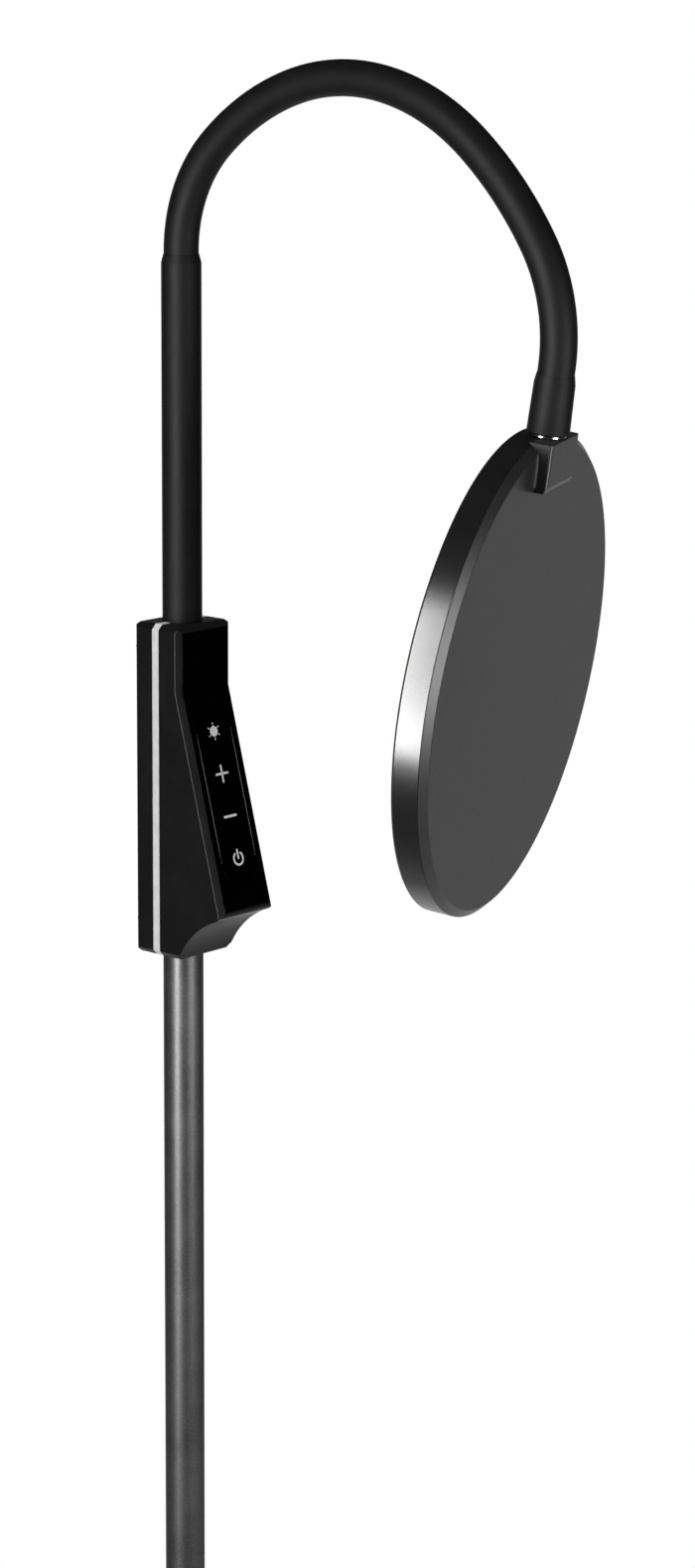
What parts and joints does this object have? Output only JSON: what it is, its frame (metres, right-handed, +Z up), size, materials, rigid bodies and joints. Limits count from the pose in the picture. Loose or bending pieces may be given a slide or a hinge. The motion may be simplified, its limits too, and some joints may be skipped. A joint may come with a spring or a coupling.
{
  "type": "floor lamp",
  "caption": "Floor lamp with a weighted round base, straight pole, touch control box, bendable gooseneck and flat round swivelling head.",
  "frame": {"origin": "centre of the base's underside, on the floor, at the pole's axis", "axes": "+Z up along the pole; -Y is the front, where the control box faces and the neck arches over; X is across the lamp"},
  "size_m": [0.26, 0.4122, 1.6002],
  "materials": {
    "pad_rubber": "matte",
    "cast_weight": "rough",
    "base_paint": "satin powder coat",
    "dark_plastic": "matte",
    "zinc_steel": "zinc plated",
    "pole_paint": "fine-speckled metallic satin",
    "clamp_alloy": "cast",
    "box_plastic": "satin",
    "trim_silver": "satin white",
    "gloss_black": "gloss",
    "lens_black": "gloss",
    "board_green": "lacquered",
    "black_screw": "blackened",
    "tube_steel": "plain",
    "neck_rubber": "satin rubber",
    "core_steel": "wound",
    "nickel": "bright",
    "head_plastic": "satin",
    "rim_plastic": "smooth satin",
    "bush_brass": "turned",
    "light_strip": "matte",
    "reflector_white": "matte",
    "guide_clear": "clear",
    "diffuser_white": "opal"
  },
  "bodies": {
    "stand": {"base_pad": "pad_rubber", "base_weight": "cast_weight", "base_cover": "base_paint", "power_inlet": "dark_plastic", "pole_bolt": "zinc_steel", "pole_plug": "zinc_steel", "pole_collar": "base_paint", "pole_lower": "pole_paint", "pole_coupler": "zinc_steel", "pole_upper": "pole_paint", "tube_clamp": "clamp_alloy", "box_rear_shell": "box_plastic", "box_band": "trim_silver", "box_front_shell": "box_plastic", "front_panel": "gloss_black", "touch_lens": "lens_black", "control_board": "board_green", "box_screws": "black_screw", "riser_tube": "tube_steel", "riser_sleeve": "neck_rubber", "neck_base_ferrule": "tube_steel"},
    "neck_01": {"neck_core_01": "core_steel", "neck_cover_01": "neck_rubber"},
    "neck_02": {"neck_core_02": "core_steel", "neck_cover_02": "neck_rubber"},
    "neck_03": {"neck_core_03": "core_steel", "neck_cover_03": "neck_rubber"},
    "neck_04": {"neck_core_04": "core_steel", "neck_cover_04": "neck_rubber"},
    "neck_05": {"neck_core_05": "core_steel", "neck_cover_05": "neck_rubber"},
    "neck_06": {"neck_core_06": "core_steel", "neck_cover_06": "neck_rubber"},
    "neck_07": {"neck_core_07": "core_steel", "neck_cover_07": "neck_rubber"},
    "neck_08": {"neck_core_08": "core_steel", "neck_cover_08": "neck_rubber"},
    "neck_09": {"neck_core_09": "core_steel", "neck_cover_09": "neck_rubber"},
    "neck_10": {"neck_core_10": "core_steel", "neck_cover_10": "neck_rubber"},
    "neck_11": {"neck_core_11": "core_steel", "neck_cover_11": "neck_rubber"},
    "neck_12": {"neck_core_12": "core_steel", "neck_cover_12": "neck_rubber"},
    "neck_end": {"neck_end_ferrule": "tube_steel", "end_sleeve": "neck_rubber", "swivel_spigot": "nickel", "spigot_ring": "zinc_steel"},
    "head": {"head_back": "head_plastic", "head_rim": "rim_plastic", "spigot_block": "clamp_alloy", "block_screws": "black_screw", "spigot_bush": "bush_brass", "heat_spreader": "clamp_alloy", "led_ring": "light_strip", "reflector_sheet": "reflector_white", "light_guide": "guide_clear", "diffuser": "diffuser_white"}
  },
  "joints": [
    {"name": "low_bend_01", "type": "hinge", "parent": "stand", "child": "neck_01", "pos_m": [0, 0, 1.4941], "axis": [1, 0, 0], "range_deg": [-20, 4]},
    {"name": "sway_low", "type": "hinge", "parent": "neck_01", "child": "neck_02", "pos_m": [0, -0.00655, 1.5256], "axis": [0, -0.9171, -0.3987], "range_deg": [-20, 20]},
    {"name": "low_bend_03", "type": "hinge", "parent": "neck_02", "child": "neck_03", "pos_m": [0, -0.02512, 1.55187], "axis": [1, 0, 0], "range_deg": [-20, 4]},
    {"name": "low_bend_04", "type": "hinge", "parent": "neck_03", "child": "neck_04", "pos_m": [0, -0.05103, 1.57122], "axis": [1, 0, 0], "range_deg": [-20, 4]},
    {"name": "low_bend_05", "type": "hinge", "parent": "neck_04", "child": "neck_05", "pos_m": [0, -0.08051, 1.5845], "axis": [1, 0, 0], "range_deg": [-20, 4]},
    {"name": "crown_bend_06", "type": "hinge", "parent": "neck_05", "child": "neck_06", "pos_m": [0, -0.11226, 1.59051], "axis": [1, 0, 0], "range_deg": [-14.5, 4]},
    {"name": "crown_bend_07", "type": "hinge", "parent": "neck_06", "child": "neck_07", "pos_m": [0, -0.1445, 1.58836], "axis": [1, 0, 0], "range_deg": [-14.5, 4]},
    {"name": "crown_bend_08", "type": "hinge", "parent": "neck_07", "child": "neck_08", "pos_m": [0, -0.17527, 1.57844], "axis": [1, 0, 0], "range_deg": [-14.5, 4]},
    {"name": "crown_bend_09", "type": "hinge", "parent": "neck_08", "child": "neck_09", "pos_m": [0, -0.20285, 1.56158], "axis": [1, 0, 0], "range_deg": [-14.5, 4]},
    {"name": "high_bend_10", "type": "hinge", "parent": "neck_09", "child": "neck_10", "pos_m": [0, -0.22658, 1.53957], "axis": [-1, 0, 0], "range_deg": [-6, 17]},
    {"name": "high_bend_11", "type": "hinge", "parent": "neck_10", "child": "neck_11", "pos_m": [0, -0.24644, 1.51402], "axis": [-1, 0, 0], "range_deg": [-6, 17]},
    {"name": "sway_high", "type": "hinge", "parent": "neck_11", "child": "neck_12", "pos_m": [0, -0.2589, 1.4843], "axis": [0, 0.977, -0.213], "range_deg": [-20, 20]},
    {"name": "high_bend_13", "type": "hinge", "parent": "neck_12", "child": "neck_end", "pos_m": [0, -0.25994, 1.4521], "axis": [-1, 0, 0], "range_deg": [-6, 17]},
    {"name": "head_swivel", "type": "hinge", "parent": "neck_end", "child": "head", "pos_m": [0, -0.25994, 1.4521], "axis": [0, 0.1495, -0.9888], "range_deg": [-116, 154]}
  ],
  "couplings": [
    {"joint": "low_bend_03", "follows": "low_bend_01", "ratio": 1},
    {"joint": "low_bend_04", "follows": "low_bend_01", "ratio": 1},
    {"joint": "low_bend_05", "follows": "low_bend_01", "ratio": 1},
    {"joint": "crown_bend_07", "follows": "crown_bend_06", "ratio": 1},
    {"joint": "crown_bend_08", "follows": "crown_bend_06", "ratio": 1},
    {"joint": "crown_bend_09", "follows": "crown_bend_06", "ratio": 1},
    {"joint": "high_bend_11", "follows": "high_bend_10", "ratio": 1},
    {"joint": "high_bend_13", "follows": "high_bend_10", "ratio": 1}
  ]
}
